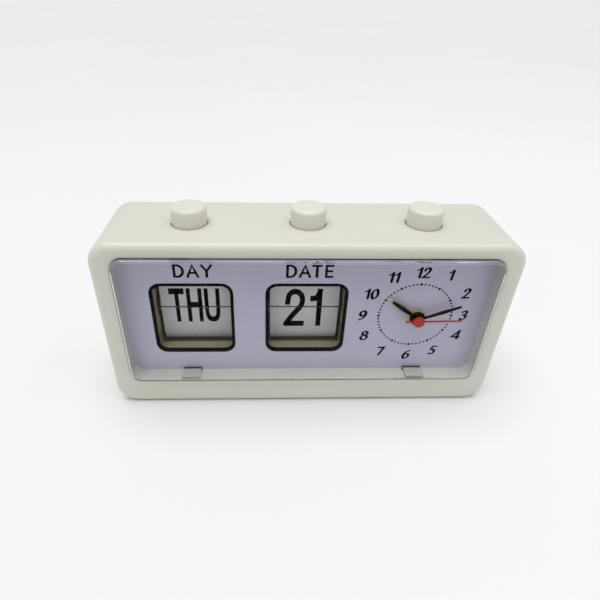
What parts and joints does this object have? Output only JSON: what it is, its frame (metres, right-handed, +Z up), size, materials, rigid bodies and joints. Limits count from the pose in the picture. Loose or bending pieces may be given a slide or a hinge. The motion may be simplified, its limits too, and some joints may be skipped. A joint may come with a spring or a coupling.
{
  "type": "flip clock",
  "caption": "Flip calendar alarm clock: a wide moulded case with a clear front window, flip-leaf day and date modules, a quartz dial and push buttons on top.",
  "frame": {"origin": "middle of the footprint, on the surface that the clock stands on", "axes": "+Z up, +X to the right seen from the front, the front window faces -Y"},
  "size_m": [0.184, 0.0488, 0.0965],
  "materials": {
    "case_plastic": "satin moulded ABS",
    "clear_plastic": "clear polished polystyrene",
    "dial_print": "printed lilac grey",
    "beige_plastic": "moulded, unpainted",
    "leaf_white": "printed sheet",
    "dark_plastic": "moulded",
    "white_nylon": "moulded nylon",
    "black_plastic": "moulded",
    "steel": "plated",
    "bronze": "rolled strip",
    "copper": "enamelled winding wire",
    "board_green": "laminate",
    "hand_black": "painted aluminium",
    "hand_red": "painted aluminium",
    "hand_yellow": "painted aluminium",
    "cell_wrap": "plain wrap"
  },
  "bodies": {
    "case": {"front_case": "case_plastic", "rear_case": "case_plastic", "lens": "clear_plastic", "dial_plate": "dial_print", "dial_screws": "steel", "case_screws": "steel", "day_button_spring": "steel", "date_button_spring": "steel", "alarm_button_spring": "steel", "day_frame": "beige_plastic", "date_frame": "beige_plastic", "day_click_spring": "bronze", "date_click_spring": "bronze", "movement_case": "black_plastic", "movement_cover": "black_plastic", "movement_screws": "steel", "motor_stator": "steel", "motor_coil": "copper", "circuit_board": "board_green", "alarm_switch": "black_plastic", "battery": "cell_wrap", "battery_spring_contact": "steel", "battery_plate_contact": "steel", "buzzer": "bronze"},
    "day_press": {"day_button": "case_plastic", "day_pawl_arm": "white_nylon"},
    "date_press": {"date_button": "case_plastic", "date_pawl_arm": "white_nylon"},
    "alarm_press": {"alarm_button": "case_plastic", "switch_plunger": "white_nylon"},
    "day_flip_drum": {"day_axle": "steel", "day_drum": "dark_plastic", "day_ratchet": "white_nylon", "day_raised_leaves": "leaf_white", "day_fallen_leaves": "leaf_white"},
    "day_flip_leaf": {"day_front_leaf": "leaf_white"},
    "date_flip_drum": {"date_axle": "steel", "date_drum": "dark_plastic", "date_ratchet": "white_nylon", "date_raised_leaves": "leaf_white", "date_fallen_leaves": "leaf_white"},
    "date_flip_leaf": {"date_front_leaf": "leaf_white"},
    "minute_set": {"centre_wheel": "white_nylon", "minute_hand": "hand_black"},
    "hour_set": {"hour_wheel": "white_nylon", "hour_hand": "hand_black"},
    "second_set": {"second_arbor": "steel", "second_hand": "hand_red"},
    "alarm_set": {"alarm_wheel": "white_nylon", "alarm_hand": "hand_yellow"},
    "time_knob": {"time_set_knob": "case_plastic", "minute_wheel": "white_nylon"},
    "alarm_knob": {"alarm_set_knob": "case_plastic", "alarm_pinion": "white_nylon"},
    "door": {"battery_door": "case_plastic"}
  },
  "joints": [
    {"name": "day_press_slide", "type": "slide", "parent": "case", "child": "day_press", "axis": [0, 0, -1], "range_m": [0, 0.0024], "stiffness_N_per_m": 350, "deforming": ["day_button_spring"]},
    {"name": "day_drum_turn", "type": "hinge", "parent": "case", "child": "day_flip_drum", "pos_m": [-0.052, 0.00403, 0.0462], "axis": [1, 0, 0], "range_deg": [0, 12.86], "deforming": ["day_click_spring"]},
    {"name": "day_leaf_fall", "type": "hinge", "parent": "day_flip_drum", "child": "day_flip_leaf", "pos_m": [-0.052, -0.00392, 0.0471], "axis": [1, 0, 0], "range_deg": [0, 167.14]},
    {"name": "date_press_slide", "type": "slide", "parent": "case", "child": "date_press", "axis": [0, 0, -1], "range_m": [0, 0.0024], "stiffness_N_per_m": 350, "deforming": ["date_button_spring"]},
    {"name": "date_drum_turn", "type": "hinge", "parent": "case", "child": "date_flip_drum", "pos_m": [0, 0.00403, 0.0462], "axis": [1, 0, 0], "range_deg": [0, 11.61], "deforming": ["date_click_spring"]},
    {"name": "date_leaf_fall", "type": "hinge", "parent": "date_flip_drum", "child": "date_flip_leaf", "pos_m": [0, -0.00393, 0.04701], "axis": [1, 0, 0], "range_deg": [0, 168.39]},
    {"name": "alarm_press_slide", "type": "slide", "parent": "case", "child": "alarm_press", "axis": [0, 0, -1], "range_m": [0, 0.0024], "stiffness_N_per_m": 350, "deforming": ["alarm_button_spring"]},
    {"name": "minute_hand_turn", "type": "hinge", "parent": "case", "child": "minute_set", "pos_m": [0.0517, -0.02197, 0.0482], "axis": [0, 1, 0], "continuous": true},
    {"name": "hour_hand_turn", "type": "hinge", "parent": "case", "child": "hour_set", "pos_m": [0.0517, -0.02197, 0.0482], "axis": [0, 1, 0], "continuous": true},
    {"name": "second_hand_turn", "type": "hinge", "parent": "case", "child": "second_set", "pos_m": [0.0517, -0.02197, 0.0482], "axis": [0, 1, 0], "continuous": true},
    {"name": "alarm_hand_turn", "type": "hinge", "parent": "case", "child": "alarm_set", "pos_m": [0.0517, -0.02197, 0.0482], "axis": [0, 1, 0], "continuous": true},
    {"name": "time_knob_turn", "type": "hinge", "parent": "case", "child": "time_knob", "pos_m": [0.061, -0.02197, 0.04452], "axis": [0, 1, 0], "continuous": true},
    {"name": "alarm_knob_turn", "type": "hinge", "parent": "case", "child": "alarm_knob", "pos_m": [0.0424, -0.02197, 0.04452], "axis": [0, 1, 0], "continuous": true},
    {"name": "battery_door_slide", "type": "slide", "parent": "case", "child": "door", "axis": [0, 1, 0], "range_m": [0, 0.012]}
  ],
  "couplings": [
    {"joint": "day_drum_turn", "follows": "day_press_slide", "rad_per_m": 93.5},
    {"joint": "day_leaf_fall", "follows": "day_press_slide", "rad_per_m": 1215.5},
    {"joint": "date_drum_turn", "follows": "date_press_slide", "rad_per_m": 84.451},
    {"joint": "date_leaf_fall", "follows": "date_press_slide", "rad_per_m": 1224.5},
    {"joint": "hour_hand_turn", "follows": "minute_hand_turn", "ratio": 0.083333},
    {"joint": "second_hand_turn", "follows": "minute_hand_turn", "ratio": 60},
    {"joint": "time_knob_turn", "follows": "minute_hand_turn", "ratio": -0.33333},
    {"joint": "alarm_knob_turn", "follows": "alarm_hand_turn", "ratio": -4}
  ]
}
